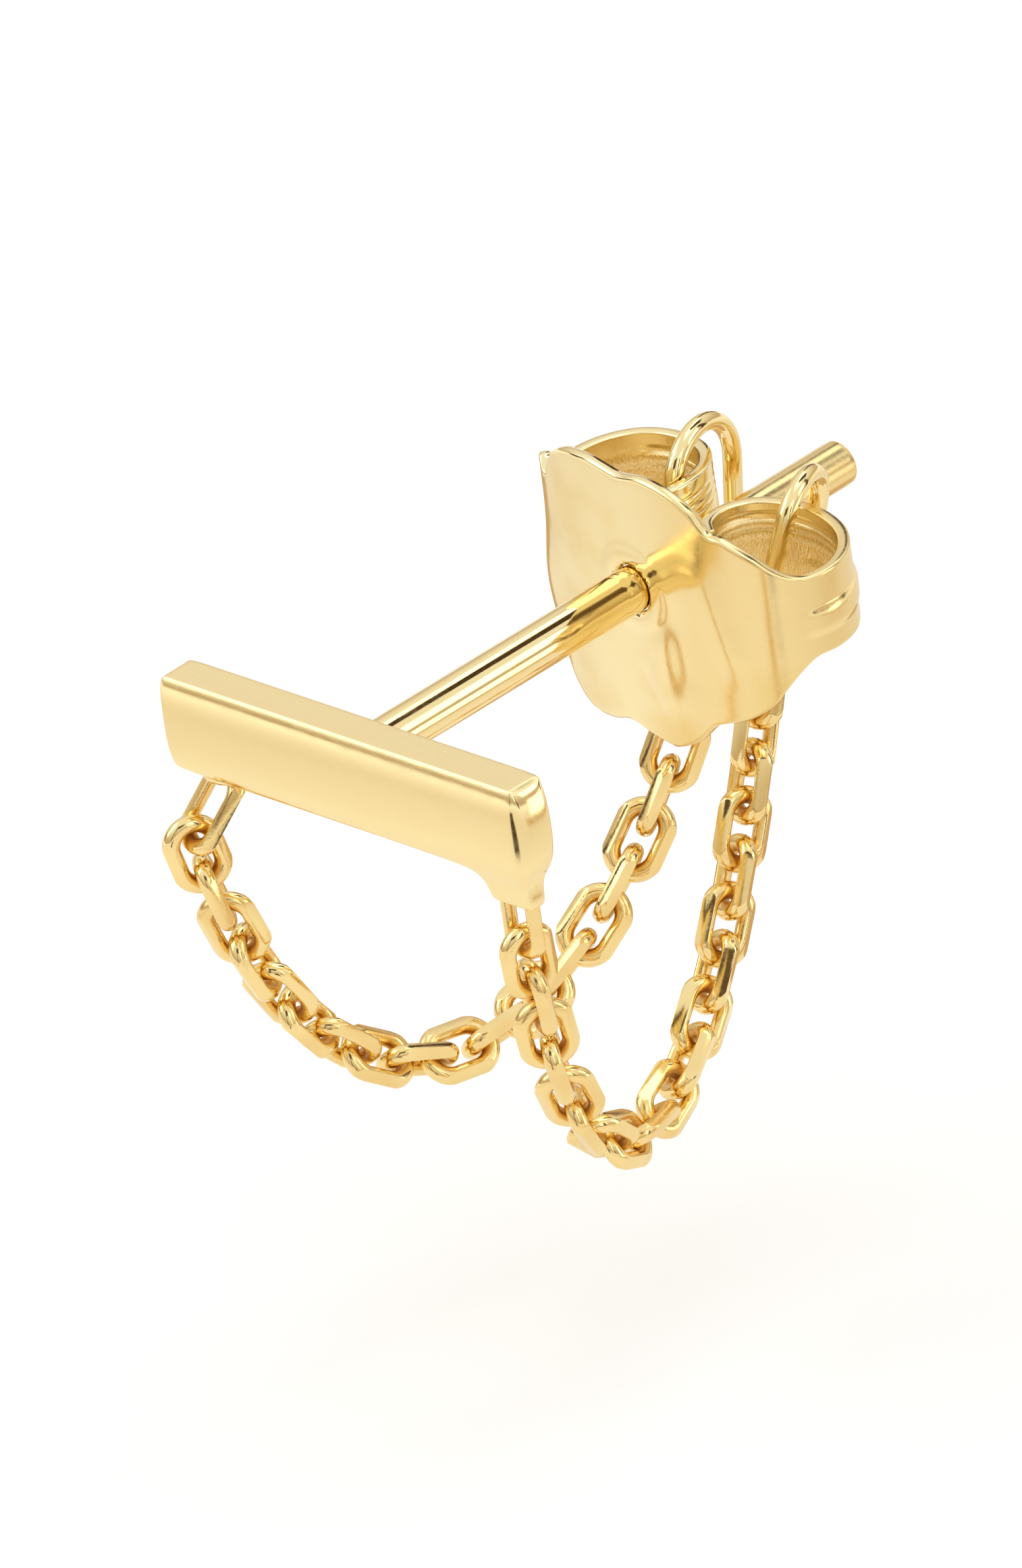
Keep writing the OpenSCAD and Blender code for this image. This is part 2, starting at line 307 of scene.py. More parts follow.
# %% [markdown]
# ## Bar
# The bar is a small polished ingot: a flat satin top, a front that rolls over softly below a
# crisp top edge, and pillowed ends. A cube with a few loops, rounded by a Subdivision Surface,
# gives edges that all flow into each other, as polishing leaves them. Two loops close together
# keep an edge crisp, and a wide gap between loops lets it roll. At the right end the metal flows
# down into the end loop, so the underside is drawn out there step by step.

# %% Block out the bar
BAR_L, BAR_D, BAR_H, BAR_Z = 8.25, 0.84, 1.74, -0.24
FLOOR_Z = BAR_Z - BAR_H / 2
TOP_Z = BAR_Z + BAR_H / 2
LEFT_X, RIGHT_X = -BAR_L / 2, BAR_L / 2
NECK_FROM, FRONT_LOOP = RIGHT_X - 1.5, -0.70
# Heights of the loops: near the floor, three over the swelling front, and just below the top
LOW_Z, BELLY_Z, WAIST_Z = FLOOR_Z + 0.14, FLOOR_Z + 0.50, BAR_Z + 0.25
SHOULDER_Z, CRISP_Z = TOP_Z - 0.32, TOP_Z - 0.06

bpy.ops.mesh.primitive_cube_add(size=1, location=(0, -BAR_D / 2, BAR_Z))
bar = name_it("bar")
bar.scale = (BAR_L, BAR_D, BAR_H)
bpy.ops.object.transform_apply(location=True, rotation=True, scale=True)
for x in (LEFT_X + 0.16, LEFT_X + 0.70, NECK_FROM, RIGHT_X - 1.1, RIGHT_X - 0.14):
    cut(bar, (x, 0, 0), (1, 0, 0))
for y in (-0.10, -BAR_D / 2, FRONT_LOOP):
    cut(bar, (0, y, 0), (0, 1, 0))
for z in (LOW_Z, BELLY_Z, WAIST_Z, SHOULDER_Z, CRISP_Z):
    cut(bar, (0, 0, z), (0, 0, 1))
print("bar blocked out:", len(bar.data.polygons), "faces")

# %% Round its long edges
# A vertex in front of or behind these lies on the front or back, and one past the rims on the
# top or floor. Right of STRAIGHT_X the lower edge belongs to the neck
FRONT_Y, BACK_Y = -BAR_D + 0.01, -0.05
TOP_RIM, LOW_RIM = TOP_Z - 0.01, FLOOR_Z + 0.01
STRAIGHT_X = 2.7


def nudge(piece, test, by):
    """Moves the vertices that pass the test."""
    choose(piece, "VERT", test)
    bpy.ops.transform.translate(value=by)
    done()


def near(value, place):
    """Whether a coordinate is at that place, give or take a hundredth of a millimetre."""
    return abs(value - place) < 0.01


nudge(bar, lambda p: p.y < FRONT_Y and p.z > TOP_RIM, (0, 0.130, 0))
nudge(bar, lambda p: p.y < FRONT_Y and near(p.z, CRISP_Z), (0, 0.075, 0))
nudge(bar, lambda p: p.y < FRONT_Y and p.z < LOW_RIM and p.x < STRAIGHT_X, (0, 0.090, 0))
nudge(bar, lambda p: p.y < FRONT_Y and near(p.z, LOW_Z) and p.x < STRAIGHT_X, (0, 0.025, 0))
nudge(bar, lambda p: p.y < FRONT_Y and (near(p.z, BELLY_Z) or near(p.z, WAIST_Z))
      and abs(p.x) < RIGHT_X - 0.02, (0, -0.030, 0))

# %% Pillow its ends
nudge(bar, lambda p: abs(p.x) > RIGHT_X - 0.01 and p.y > BACK_Y and p.z > TOP_RIM,
      (0, -0.07, -0.02))
nudge(bar, lambda p: p.x < LEFT_X + 0.01 and p.z < LOW_Z + 0.02, (0.18, 0, 0.05))
nudge(bar, lambda p: p.x < LEFT_X + 0.17 and p.z < FLOOR_Z + 0.06, (0.06, 0, 0.05))
for side, edge_x in ((-1, LEFT_X), (1, RIGHT_X)):
    nudge(bar, lambda p: near(p.x, edge_x) and p.z > TOP_RIM, (-side * 0.13, 0, 0))
    nudge(bar, lambda p: near(p.x, edge_x) and (p.y > BACK_Y or p.y < FRONT_LOOP - 0.005),
          (-side * 0.09, 0, 0))
for z, bulge in ((LOW_Z, 0.06), (BELLY_Z, 0.14), (WAIST_Z, 0.13), (SHOULDER_Z, 0.09)):
    nudge(bar, lambda p: p.x > RIGHT_X - 0.1 and p.y > FRONT_LOOP - 0.05 and near(p.z, z),
          (bulge, 0, 0))

# %% Soften the lowest edges above the neck
NECK_X = RIGHT_X - 1.2
nudge(bar, lambda p: p.x > NECK_X and p.y < FRONT_Y and p.z < LOW_RIM, (0, 0.09, 0))
nudge(bar, lambda p: p.x > NECK_X and p.y < FRONT_Y and near(p.z, LOW_Z), (0, 0.02, 0.08))
nudge(bar, lambda p: p.x > NECK_X and p.y > BACK_Y and p.z < LOW_RIM, (0, -0.14, 0))
nudge(bar, lambda p: p.x > NECK_X and p.y > BACK_Y and near(p.z, LOW_Z), (0, -0.04, 0.06))
nudge(bar, lambda p: p.x > RIGHT_X - 0.12 and p.z < LOW_RIM, (-0.05, 0, 0))

# %% Draw the right end out to a neck
NECK_STEPS = (
    # down, from this x range to that one as seen from the end, thinner by, about this y
    (0.09, (-1.50, -0.05), (-1.32, -0.09), 0.85, -0.43),
    (0.12, (-1.32, -0.09), (-1.16, -0.11), 0.82, -0.43),
    (0.15, (-1.16, -0.11), (-1.08, -0.10), 0.87, -0.42),
    (0.15, (-1.08, -0.10), (-1.05, -0.08), 0.92, -0.42),
    (0.11, (-1.05, -0.08), (-1.01, -0.12), 0.85, -0.42))
depth = 0.0
for down, was, now, thinner, about in NECK_STEPS:
    level = FLOOR_Z - depth
    choose(bar, "FACE", lambda p, n: n.z < -0.9 and p.x > NECK_FROM and abs(p.z - level) < 0.02)
    bpy.ops.mesh.extrude_region_move(TRANSFORM_OT_translate={"value": (0, 0, -down)})
    narrower = (now[1] - now[0]) / (was[1] - was[0])
    still = (now[0] - narrower * was[0]) / (1 - narrower)
    bpy.ops.transform.resize(value=(narrower, thinner, 1.0),
                             center_override=(RIGHT_X + still, about, level - down))
    done()
    depth += down
finish_with(bar, "SUBSURF", levels=3, render_levels=3)
smooth(bar, 60)
lay(bar)
print("bar:", len(bar.data.polygons), "faces, neck", round(depth, 2), "mm long")

# %% [markdown]
# ## Post
# The post is drawn wire, so it starts as a cylinder. Its tip is nearly flat with a filed edge,
# and its foot runs into the bar, where it is soldered.

# %% Make the post
POST_D, POST_END, ROOT, DOME = 0.8, 11.5, 0.42, 0.015
bpy.ops.mesh.primitive_cylinder_add(vertices=72, radius=POST_D / 2, depth=POST_END + ROOT)
post = name_it("post")
choose(post, "FACE", lambda p, n: n.z > 0.9)
bpy.ops.mesh.bevel(offset=0.11, segments=4)
bpy.ops.mesh.inset(thickness=0.1)
bpy.ops.transform.translate(value=(0, 0, DOME))
done()
smooth(post, 50)
lay(post, (0, (POST_END - ROOT) / 2 - DOME, 0), along=(0, 1, 0), facing=(0, 0, 1))

# %% [markdown]
# ## Wire rings and links
# A ring or link is a torus pulled apart. The upper half is kept, its two open ends are extruded
# down for the straight sides, and a turned copy of the half closes the bottom. A chain link is
# then cut with four flat planes, as a diamond tool cuts it, which leaves bright facets that meet
# in a ridge on the outside of each leg.

# %% Bend a long ring
def long_ring(name, bend, side, wire, around, across):
    """A ring of round wire with straight sides, upright and facing -Y."""
    bpy.ops.mesh.primitive_torus_add(major_radius=bend, minor_radius=wire / 2,
                                     major_segments=around, minor_segments=across,
                                     rotation=(math.pi / 2, 0, 0))
    piece = name_it(name)
    bpy.ops.object.transform_apply(location=True, rotation=True, scale=True)
    choose(piece, "VERT", lambda p: p.z < -0.001)
    bpy.ops.mesh.delete(type="VERT")
    done()
    choose(piece, "VERT", lambda p: p.z < 0.001)
    bpy.ops.mesh.extrude_region_move(TRANSFORM_OT_translate={"value": (0, 0, -side)})
    done()
    choose(piece, "VERT", lambda p: p.z > -0.001)
    bpy.ops.mesh.duplicate()
    bpy.ops.transform.rotate(value=math.pi, orient_axis="Y", center_override=(0, 0, -side / 2))
    done()
    choose(piece, "VERT", lambda p: True)
    bpy.ops.mesh.remove_doubles(threshold=0.002)
    bpy.ops.mesh.normals_make_consistent(inside=False)
    bpy.ops.transform.translate(value=(0, 0, side / 2))
    done()
    return piece


# %% Cut a link
LINK_L, LINK_W, WIRE, CUT = 1.49, 1.08, 0.31, 0.055


def diamond_cut_link(name, length, width=LINK_W):
    """A link with four diamond cuts, and painted shade on the gold that faces its hole."""
    bend = (width - WIRE) / 2
    piece = long_ring(name, bend, length - width, WIRE, around=44, across=20)
    reach = bend / math.sqrt(2) + WIRE / 2 - CUT
    for sx in (-1, 1):
        for sy in (-1, 1):
            normal = Vector((sx, sy, 0)).normalized()
            cut(piece, reach * normal, normal, clear=True)
    finish_with(piece, "BEVEL", limit_method="ANGLE", angle_limit=math.radians(24),
                width=0.010, segments=2)
    half = (length - width) / 2
    # Painted shade: the gold that faces the link's hole, most round its bows, is marked darker
    # amber.
    painted_shade = piece.data.attributes.new("painted_shade", "FLOAT", "POINT")
    for vertex, mark in zip(piece.data.vertices, painted_shade.data):
        p = vertex.co
        hub = Vector((0, 0, max(-half, min(half, p.z))))
        out = Vector((p.x, 0, p.z)) - hub
        core = hub + bend * out.normalized()
        inward = -(p - core).normalized().dot(out.normalized())
        shaded = max(0.0, min(1.0, 0.25 + 0.75 * inward))
        in_bow = abs(out.normalized().z)
        mark.value = shaded * (0.45 + 0.55 * in_bow)
    smooth(piece, 30)
    return piece


# %% [markdown]
# ## Where each link lies
# Each link's solid already hangs where it belongs. Its place is read from its surface: the
# middle is the centre, the direction with the largest spread is its length, and the one with the
# smallest spread is the way it faces.

# %% Read a solid's lie
def lie_of(node):
    """Centre in millimetres, length direction and facing direction of a flat ring-like solid."""
    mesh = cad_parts[node].data
    mesh.calc_loop_triangles()
    points = np.array([v.co for v in mesh.vertices]) / MM
    corners = points[[t.vertices[:] for t in mesh.loop_triangles]]
    area = np.linalg.norm(np.cross(corners[:, 1] - corners[:, 0], corners[:, 2] - corners[:, 0]),
                          axis=1)
    middles = corners.mean(axis=1)
    centre = (middles * area[:, None]).sum(0) / area.sum()
    spread = ((middles - centre) * area[:, None]).T @ (middles - centre)
    directions = np.linalg.eigh(spread)[1]
    return Vector(centre), Vector(directions[:, 2]), Vector(directions[:, 0])


# %% Hang the two chains
pattern = diamond_cut_link("link_pattern", LINK_L)
links_made = []
for node in sorted(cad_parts):
    if node.startswith("link_"):
        piece = bpy.data.objects.new("gold_" + node, pattern.data.copy())
        bpy.context.scene.collection.objects.link(piece)
        lay(piece, *lie_of(node))
        fit(piece, chain_gold, "chain_gold", node)
        links_made.append(piece)
bpy.data.objects.remove(pattern)
print("links:", len(links_made))

# %% [markdown]
# ## Wire rings
# The two rings are plain polished wire. Each is modelled at its own size and takes its lie from
# its solid, as the links do.

# %% Make the rings
RING_WIRE = 0.33
for node, bend, side in (("ring_left", 0.91, 2.20), ("ring_right", 0.80, 1.90)):
    piece = long_ring("wire_" + node, bend, side, RING_WIRE, around=72, across=24)
    smooth(piece, 60)
    lay(piece, *lie_of(node))
    fit(piece, ring_gold, "ring_gold", node)

# %% [markdown]
# ## End loops
# The end loops are longer links of the same cut wire, soldered under the bar. The left one leans
# out to the front, and the right one stands straight in the drawn-out corner.

# %% Make the end loops
def leaning(lean, turn, twist=0.0):
    """Directions of a loop whose lower end leans out, turned about Z and twisted about itself."""
    a, t = math.radians(lean), math.radians(turn)
    along = Vector((-math.sin(a) * math.sin(t), math.sin(a) * math.cos(t), math.cos(a)))
    facing = Vector((math.cos(a) * math.sin(t), -math.cos(a) * math.cos(t), math.sin(a)))
    return along, Matrix.Rotation(math.radians(twist), 3, along) @ facing


left_loop = diamond_cut_link("loop_left", length=1.75)
lay(left_loop, (LEFT_X + 0.66, -BAR_D / 2 - 0.13, FLOOR_Z - 0.69),
    *leaning(lean=34, turn=-38, twist=25))
right_loop = diamond_cut_link("loop_right", length=2.30, width=0.96)
lay(right_loop, (RIGHT_X - 0.56, -BAR_D / 2, FLOOR_Z - 0.53), *leaning(lean=0, turn=0))

# %% [markdown]
# Under the left end of the bar the solder has left a small foot round the top of the loop. A
# flattened ball, sunk half into the bar, is enough for it.

# %% Make the solder foot
FOOT_X, FOOT_Y, FOOT_R = -3.165, -0.42, 0.36
bpy.ops.mesh.primitive_uv_sphere_add(segments=32, ring_count=16, radius=FOOT_R,
                                     location=(FOOT_X, FOOT_Y, FLOOR_Z + 0.02))
solder = name_it("solder_foot")
solder.scale = (1.15, 0.95, 0.55)
bpy.ops.object.transform_apply(location=True, rotation=True, scale=True)
choose(solder, "VERT", lambda p: p.z < FLOOR_Z - 0.1)
bpy.ops.transform.resize(value=(0.8, 0.8, 1.25),
                         center_override=(FOOT_X, FOOT_Y, FLOOR_Z - 0.1))
done()
smooth(solder, 80)
lay(solder)

for piece, finish in ((bar, bar_gold), (post, post_gold), (left_loop, chain_gold),
                      (right_loop, chain_gold), (solder, bar_gold)):
    fit(piece, finish, "bar_gold", "bar_stud")

# %% [markdown]
# ## Butterfly back
# A butterfly is stamped from sheet and rolled. The flat blank is a grid here: its columns follow
# the length of the strip and its rows the height, which tapers from the wide front plate to the
# narrow wings. The blank is then rolled along the plan that the solid uses, and only after that
# is it given its thickness, so the sheet is equally thick all along.

# %% Plan and outline of the sheet
PLAN = np.array([
    (-0.86, 7.78), (-0.60, 8.05), (-0.56, 8.55), (-0.72, 9.10), (-1.15, 9.50), (-1.80, 9.62),
    (-2.40, 9.44), (-2.80, 8.98), (-2.96, 8.35), (-2.90, 7.72), (-2.58, 7.26), (-2.00, 6.96),
    (-1.10, 6.70), (0.00, 6.55), (1.20, 6.46), (2.20, 6.46), (2.95, 6.60), (3.42, 6.95),
    (3.58, 7.50), (3.40, 8.10), (2.90, 8.62), (2.20, 8.90), (1.45, 8.92), (0.85, 8.66),
    (0.57, 8.20), (0.64, 7.72), (0.98, 7.42)])
TOP = np.array([
    (-3.70, 0.20), (-3.30, 0.95), (-2.80, 1.08), (-2.36, 1.22), (-2.22, 1.48), (-1.95, 1.88),
    (-1.50, 2.12), (-0.90, 2.20), (-0.40, 2.16), (-0.05, 2.13), (0.45, 2.22), (1.05, 2.17),
    (1.62, 1.95), (1.98, 1.60), (2.30, 1.55), (2.85, 1.32), (3.35, 0.98), (3.95, 0.90)])
BOTTOM = np.array([
    (-3.60, -0.60), (-2.95, -0.72), (-2.78, -1.00), (-2.60, -1.75), (-2.30, -2.50),
    (-1.75, -2.88), (-1.10, -2.86), (-0.60, -2.72), (0.00, -2.84), (0.60, -2.86), (1.15, -2.58),
    (1.60, -2.18), (1.95, -2.02), (2.45, -1.82), (2.95, -1.45), (3.30, -0.98), (3.95, -0.66)])
SHEET, HOLE_R, BOSS_R = 0.21, 0.415, 0.75
print("plan:", len(PLAN), "points, hole:", 2 * HOLE_R, "mm across")

# %% Helpers for curves
STEPS = 12


def flowing(knots):
    """Smooth curve through all knots."""
    ends = np.vstack([knots[:1], knots, knots[-1:]])
    t = np.linspace(0, 1, STEPS, endpoint=False)[:, None]
    parts = []
    for a, b, c, d in zip(ends, ends[1:], ends[2:], ends[3:]):
        parts.append(0.5 * (2 * b + (c - a) * t + (2 * a - 5 * b + 4 * c - d) * t ** 2
                            + (3 * b - a - 3 * c + d) * t ** 3))
    return np.vstack(parts + [knots[-1:]])


def evenly(curve, count):
    """Points at equal steps along a curve, the direction to the right of each, and its knot."""
    length = np.r_[0, np.cumsum(np.linalg.norm(np.diff(curve, axis=0), axis=1))]
    at = np.linspace(0, length[-1], count)
    points = np.c_[np.interp(at, length, curve[:, 0]), np.interp(at, length, curve[:, 1])]
    ahead = np.gradient(points, axis=0)
    ahead /= np.linalg.norm(ahead, axis=1)[:, None]
    knot = np.interp(at, length, np.arange(len(curve)) / STEPS)
    return points, np.c_[ahead[:, 1], -ahead[:, 0]], knot


def step(value, low, high):
    """Rises smoothly from 0 to 1 between low and high."""
    t = np.clip((value - low) / (high - low), 0, 1)
    return t * t * (3 - 2 * t)


# %% Give each column its height
COLUMNS, ROWS = 210, 44
WING_LOW, LEFT_WING_HIGH, RIGHT_WING_HIGH = -0.60, 0.95, 0.88
FOLD_X, FOLD_Y, FOLD_SLOPE = -3.7, 7.75, -0.1
LOBE_KNOT, LOBE_H = 9.75, 0.34
plan, outward, knot_of = evenly(flowing(PLAN), COLUMNS)
top, bottom = flowing(TOP), flowing(BOTTOM)
# The plate lies in front of a line across both folds, and the wings lie behind it
behind = (plan[:, 1] - (FOLD_Y + FOLD_SLOPE * (plan[:, 0] - FOLD_X))) / 0.995
front = 1 - step(behind, -0.35, 0.15)
wing_high = np.where(plan[:, 0] < 0, LEFT_WING_HIGH, RIGHT_WING_HIGH)
low = front * np.interp(plan[:, 0], bottom[:, 0], bottom[:, 1]) + (1 - front) * WING_LOW
high = front * np.interp(plan[:, 0], top[:, 0], top[:, 1]) + (1 - front) * wing_high
# A lobe stands up at the left fold
high += LOBE_H * np.exp(-((knot_of - LOBE_KNOT) / 0.50) ** 4)
print("highest column:", round(float((high - low).max()), 2), "mm")

# %% Lay out the blank
bpy.ops.mesh.primitive_grid_add(x_subdivisions=COLUMNS - 1, y_subdivisions=ROWS - 1, size=1)
butterfly = name_it("butterfly")
flat = np.array([v.co for v in butterfly.data.vertices])
column = np.rint((flat[:, 0] + 0.5) * (COLUMNS - 1)).astype(int)
row = flat[:, 1] + 0.5
x, y = plan[column].T
z = low[column] + (high - low)[column] * row

# %% [markdown]
# The stamp presses forms into the sheet: a boss round the hole, two soft ridges down the plate
# with a hollow between them, a dimple at the lower tip, two broad swellings on the left, and a
# rib along each wing. Drawing lines run round the inside of the scrolls. Each is a smooth hill or
# groove that moves the sheet along its own outward direction.

# %% Press the forms
RIDGES = (
    # from this x and z to that x and z, width, height
    (0.50, -0.7, 0.47, -2.2, 0.38, 0.07),
    (1.73, 0.8, 2.30, -0.9, 0.34, 0.07),
    (0.12, -1.75, 0.42, -2.25, 0.13, -0.05),
    (1.05, -0.2, 1.15, -1.5, 0.35, -0.04))
RIBS = (
    # from this knot of the plan to that one, at this z
    (4.0, 9.4, 0.15),
    (17.0, 22.0, 0.02))
LINES = (
    # at this z, depth
    (0.28, 0.030), (0.46, 0.038), (0.63, 0.022))
BOSS_H, RIB_H, LINE_W = 0.04, 0.045, 0.040
from_hole = np.hypot(x, z)
on_plate = front[column]
knot = knot_of[column]


def ridge(x0, z0, x1, z1, width):
    """How near a point is to a line on the plate, from 0 to 1."""
    run = np.hypot(x1 - x0, z1 - z0)
    across = ((x - x0) * (z1 - z0) - (z - z0) * (x1 - x0)) / run
    on = ((x - x0) * (x1 - x0) + (z - z0) * (z1 - z0)) / run
    begun, ended = step(on, -0.5, 0.3), step(on, run - 0.3, run + 0.5)
    return np.exp(-(across / width) ** 2) * begun * (1 - ended)


push = BOSS_H * (1 - step(from_hole, BOSS_R - 0.10, BOSS_R + 0.06))
for x0, z0, x1, z1, width, height in RIDGES:
    push += height * ridge(x0, z0, x1, z1, width)
push += 0.05 * np.exp(-((x + 1.3) / 1.0) ** 2 - ((z + 0.4) / 1.6) ** 2)
push *= on_plate
for first, last, at in RIBS:
    along = step(knot, first, first + 0.6) - step(knot, last - 0.6, last)
    push += RIB_H * (along * (1 - step(np.abs(z - at), 0.12, 0.27)))
in_scroll = step(knot, 19.6, 20.4) + 1 - step(knot, 5.6, 6.4)
for at, depth in LINES:
    push -= depth * np.exp(-((z - at) / LINE_W) ** 2) * in_scroll
push += 0.13 * np.exp(-((z + 0.9) / 0.9) ** 2 - ((knot - 9.6) / 1.0) ** 2)
moved = np.c_[x + push * outward[column, 0], y + push * outward[column, 1], z]
butterfly.data.vertices.foreach_set("co", moved.ravel())
print("pressed out by up to", round(float(push.max()), 2), "mm")

# %% Paint shade onto the plate and mark where it is rolled
painted_shade = butterfly.data.attributes.new("painted_shade", "FLOAT", "POINT")
# Painted shade: darker over the right half of the plate and in a ring round the hole where the
# post stands, and darker also at the lower tip and the right foot.
tip = step(-z, 1.9, 2.5) * (1 - step(np.abs(x - 0.45), 0.35, 1.1))
right_foot = 0.5 * step(x, 2.2, 3.0) * step(-z, 0.5, 1.2)
shaded_right = 0.42 * step(x, -0.7, 1.6)
hole_shadow = 1 - step(from_hole, HOLE_R + 0.02, HOLE_R + 0.09)
plate_shade = shaded_right + 0.3 * on_plate * np.clip(tip + right_foot, 0, 1)
painted_shade.data.foreach_set("value", np.maximum(plate_shade, hole_shadow * on_plate))
rolled = butterfly.data.attributes.new("rolled", "FLOAT", "POINT")
rolled.data.foreach_set("value", 0.25 + 0.55 * (1 - step(z, 0.35, 0.62)) * (1 - on_plate))
butterfly.data.update()

# %% [markdown]
# The hole is opened in the rolled sheet: the faces inside it go, and its rim is drawn onto a true
# circle. The sheet then gets its thickness, and one round of subdivision turns its square edge
# into the round, polished rim of the real one, which catches the light.

# %% Open the hole
PLATE_END_Y = 7.2
choose(butterfly, "VERT", lambda p: p.y < PLATE_END_Y and math.hypot(p.x, p.z) < HOLE_R + 0.012)
bpy.ops.mesh.delete(type="VERT")
done()
rim = set()
counts = {}
for face in butterfly.data.polygons:
    for key in face.edge_keys:
        counts[key] = counts.get(key, 0) + 1
for key, count in counts.items():
    if count == 1:
        rim.update(key)
for index in rim:
    p = butterfly.data.vertices[index].co
    radius = math.hypot(p.x, p.z)
    if p.y < PLATE_END_Y and radius < HOLE_R + 0.2:
        p.x *= HOLE_R / radius
        p.z *= HOLE_R / radius

# %% Give the sheet its thickness
# The outer side is plate gold, and Solidify gives the inner side the next finish
butterfly.data.materials.append(plate_gold)
butterfly.data.materials.append(scroll_gold)
outside = sum(face.normal.y for face in butterfly.data.polygons if face.center.y < 6.8)
if outside > 0:
    choose(butterfly, "VERT", lambda p: True)
    bpy.ops.mesh.flip_normals()
    done()
finish_with(butterfly, "SOLIDIFY", thickness=SHEET, offset=0.0, material_offset=1,
            use_even_offset=True)
finish_with(butterfly, "SUBSURF", levels=1, render_levels=1)
smooth(butterfly, 60)
lay(butterfly)
fit(butterfly, None, "plate_gold", "butterfly_back")

# %% [markdown]
# ## Studio
# Jewellery is shot in a white tent: light from all sides, a large soft box above, and cards
# just out of view. Without the cards polished gold would look flat, because it would have only
# white to reflect. Dark ones draw the lines along the post and the edges of the bar, tan ones
# keep the undersides warm, and lit ones put the highlights back.

# %% Lay the floor
FLOOR_DOWN, MATT = 12, 0.9


def paper_like(name, colour, glow=0.0):
    """Paper for the floor and the cards: matt, or lit through from behind."""
    paper = bpy.data.materials.new(name)
    paper.use_nodes = True
    inputs = paper.node_tree.nodes["Principled BSDF"].inputs
    inputs["Base Color"].default_value = (*colour, 1)
    inputs["Roughness"].default_value = MATT
    inputs["Emission Color"].default_value = (*colour, 1)
    inputs["Emission Strength"].default_value = glow
    return paper


bpy.ops.mesh.primitive_plane_add(size=1.6, location=(0, 0, -FLOOR_DOWN * MM))
floor = name_it("floor")
floor.data.materials.append(paper_like("studio white", (0.95, 0.95, 0.95)))
print("floor:", FLOOR_DOWN, "mm below the post")

# %% Set up the cards
brown = paper_like("brown card", (0.055, 0.028, 0.010))
umber = paper_like("umber card", (0.095, 0.052, 0.020))
tan = paper_like("tan card", (0.60, 0.42, 0.22))
lit = paper_like("lit card", (1.0, 0.97, 0.90), glow=1.5)
softly_lit = paper_like("softly lit card", (1.0, 0.97, 0.90), glow=1.1)


def shown_in_gold_only(piece):
    """Keeps a card out of the picture and out of the light, so that only reflections show it."""
    piece.visible_camera = False
    piece.visible_shadow = False
    piece.visible_diffuse = False


def card(name, at, size, paper):
    """A card that faces the earring. Its place and its size across and up are in millimetres."""
    bpy.ops.mesh.primitive_plane_add(size=1)
    piece = name_it(name)
    piece.scale = (size[0] * MM, size[1] * MM, 1)
    piece.rotation_euler = Vector(at).to_track_quat("Z", "Y").to_euler()
    piece.location = Vector(at) * MM
    piece.data.materials.append(paper)
    shown_in_gold_only(piece)


card("card_above", (7.0, 57.0, 74.0), (28, 50), brown)
card("lit_back_left", (-20.0, 56.0, 72.0), (22, 40), lit)
card("lit_back_right", (58.0, 52.0, 34.0), (30, 30), lit)
card("card_by_lens", (33.0, -56.0, 60.0), (42, 30), umber)
card("card_low_right", (23.6, 19.5, -10.4), (34, 1.8), tan)
card("card_low_front", (11.2, -19.3, -9.6), (4.6, 9), brown)
card("card_below", (-4.4, 12.2, -11.2), (16, 12), tan)
card("card_low_left", (-15.4, 14.3, -10.2), (12, 7), tan)
card("lit_low_back", (29.0, 26.0, -4.5), (15, 12), softly_lit)

# %% Stand dark strips all round
STRIP_AWAY, STRIP_UP, STRIP_TALL = 80, 22, 60
STRIPS = (
    # degrees round from the front, width
    (20, 9), (82, 12), (150, 10), (212, 10), (290, 12))
for number, (azimuth, across) in enumerate(STRIPS):
    a = math.radians(azimuth)
    card("card_%d" % number, (STRIP_AWAY * math.sin(a), -STRIP_AWAY * math.cos(a), STRIP_UP),
         (across, STRIP_TALL), brown)
print("strips:", len(STRIPS))

# %% [markdown]
# The gold also mirrors what it lies above. A cream card on the floor, seen in the gold alone,
# has shade painted on it: a little darker round the earring than under it, and fading to the
# white of the tent further out. That keeps the undersides of the chains warm.

# %% Lay a cream card under the earring
# Painted shade on the cream card, darkest a little way out from the earring.
TABLE_FADE = (
    # how far out, as a part of the card's reach, and how bright
    (0.15, 0.90), (0.30, 0.77), (1.00, 1.00))
TABLE_REACH, TABLE_DOWN = 100, 11.9
bpy.ops.mesh.primitive_plane_add(size=0.6, location=(0, 0, -TABLE_DOWN * MM))
table = name_it("table_card")
cream = bpy.data.materials.new("table cream")
cream.use_nodes = True
tree = cream.node_tree
how_far = tree.nodes.new("ShaderNodeVectorMath")
how_far.operation = "LENGTH"
tree.links.new(tree.nodes.new("ShaderNodeTexCoord").outputs["Object"], how_far.inputs[0])
fade = tree.nodes.new("ShaderNodeValToRGB")
fade.color_ramp.elements.new(0.5)
for stop, (place, level) in zip(fade.color_ramp.elements, TABLE_FADE):
    stop.position = place
    stop.color = (level, level ** 1.25, level ** 1.6, 1)
part = tree.nodes.new("ShaderNodeMath")
part.operation = "MULTIPLY"
part.inputs[1].default_value = 1 / (TABLE_REACH * MM)
tree.links.new(how_far.outputs["Value"], part.inputs[0])
tree.links.new(part.outputs[0], fade.inputs["Fac"])
tree.links.new(fade.outputs["Color"], tree.nodes["Principled BSDF"].inputs["Base Color"])
tree.nodes["Principled BSDF"].inputs["Roughness"].default_value = MATT
table.data.materials.append(cream)
shown_in_gold_only(table)
print("table card:", [round(stop.position, 2) for stop in fade.color_ramp.elements])

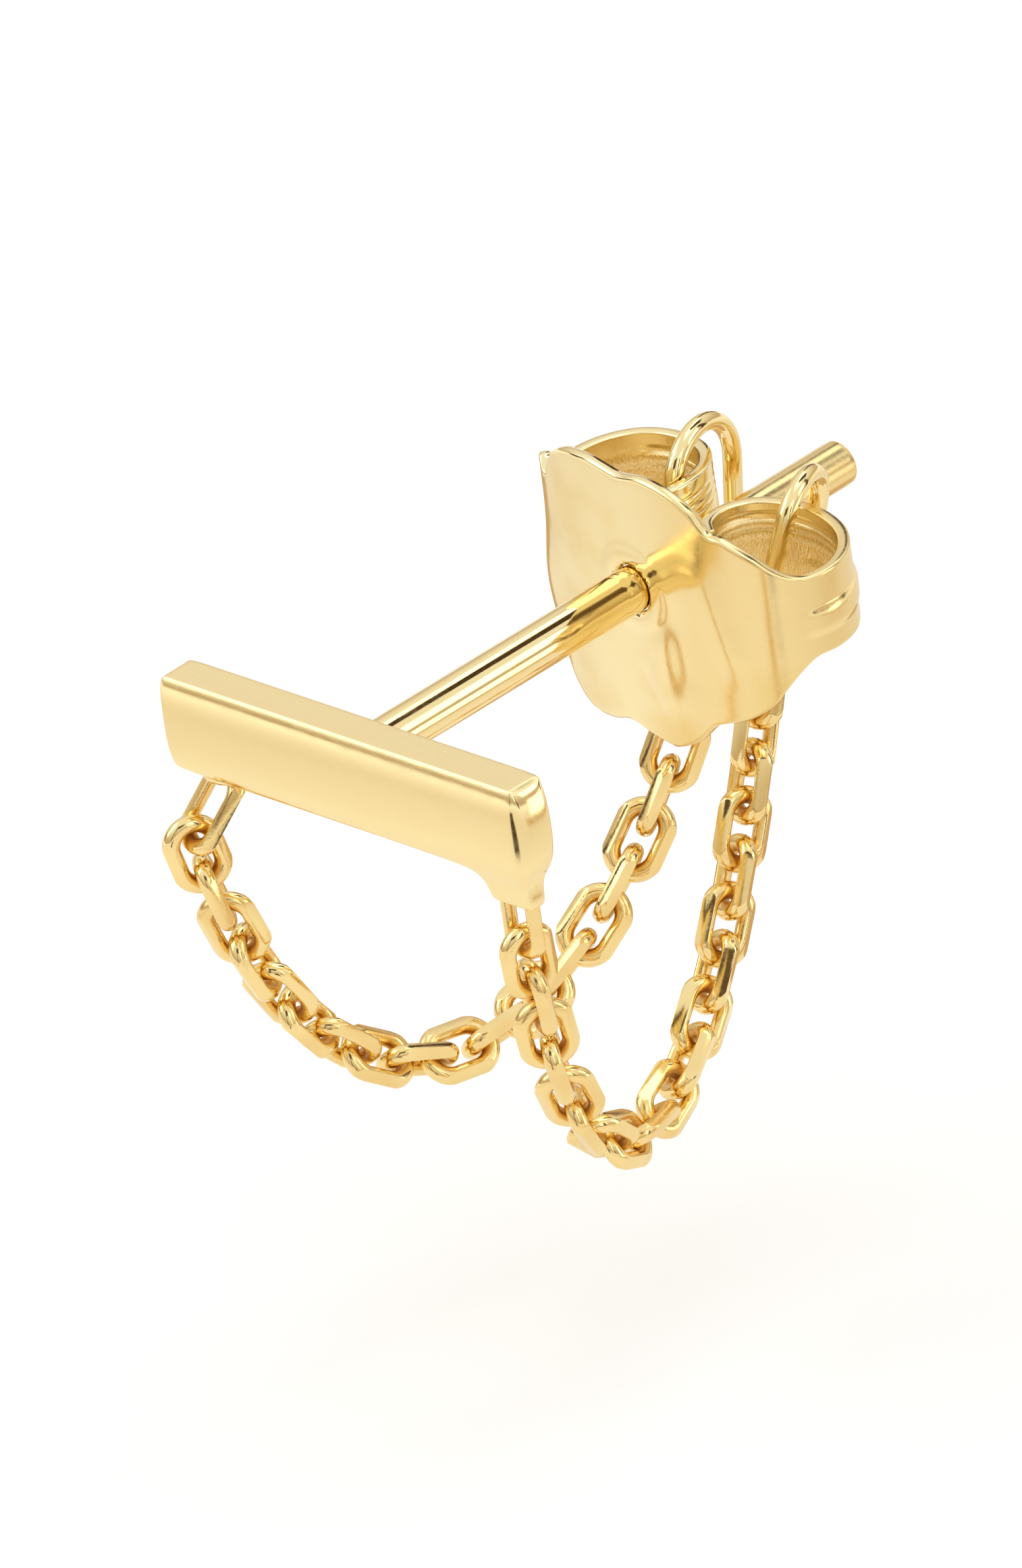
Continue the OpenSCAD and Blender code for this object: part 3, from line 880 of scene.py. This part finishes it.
# %% Hang the lamps
def softbox(name, towards_lamp, distance, size, power):
    """A flat lamp that looks at the earring: distance and size in metres, power in watts."""
    lamp = bpy.data.lights.new(name, "AREA")
    lamp.shape = "RECTANGLE"
    lamp.size, lamp.size_y = size
    lamp.energy = power
    hung = bpy.data.objects.new(name, lamp)
    bpy.context.scene.collection.objects.link(hung)
    direction = Vector(towards_lamp).normalized()
    hung.location = direction * distance
    hung.rotation_euler = direction.to_track_quat("Z", "Y").to_euler()


softbox("key", (-0.65, -0.45, 0.62), distance=0.30, size=(0.22, 0.22), power=0.20)
softbox("top", (0.1, 0.3, 1.0), distance=0.35, size=(0.20, 0.20), power=0.14)
softbox("side", (0.9, -0.2, 0.45), distance=0.30, size=(0.12, 0.20), power=0.07)

# %% Put up the tent
# Warm and darker at the horizon and below, and white from well above it
TENT_LOW, TENT_HIGH, TENT_WHITE_FROM, TENT_POWER = (0.56, 0.44, 0.30), (1, 1, 1), 0.6, 0.95
world = bpy.data.worlds.new("tent")
bpy.context.scene.world = world
world.use_nodes = True
sky = world.node_tree
background = sky.nodes["Background"]
direction = sky.nodes.new("ShaderNodeTexCoord")
split = sky.nodes.new("ShaderNodeSeparateXYZ")
sky.links.new(direction.outputs["Generated"], split.inputs[0])
ramp = sky.nodes.new("ShaderNodeValToRGB")
ramp.color_ramp.elements[0].position = 0.0
ramp.color_ramp.elements[0].color = (*TENT_LOW, 1)
ramp.color_ramp.elements[1].position = TENT_WHITE_FROM
ramp.color_ramp.elements[1].color = (*TENT_HIGH, 1)
sky.links.new(split.outputs["Z"], ramp.inputs["Fac"])
sky.links.new(ramp.outputs["Color"], background.inputs["Color"])
background.inputs["Strength"].default_value = TENT_POWER
bpy.context.scene.view_settings.view_transform = "Standard"
print("lamps:", len(bpy.data.lights))

# %% [markdown]
# ## Finish
# Last, the scene is brought up to date. The looks never change the size, so the solids' box
# and the finished pieces' box agree, but for the small swell of the bar's right end.

# %% Finish the scene
bpy.context.view_layer.update()
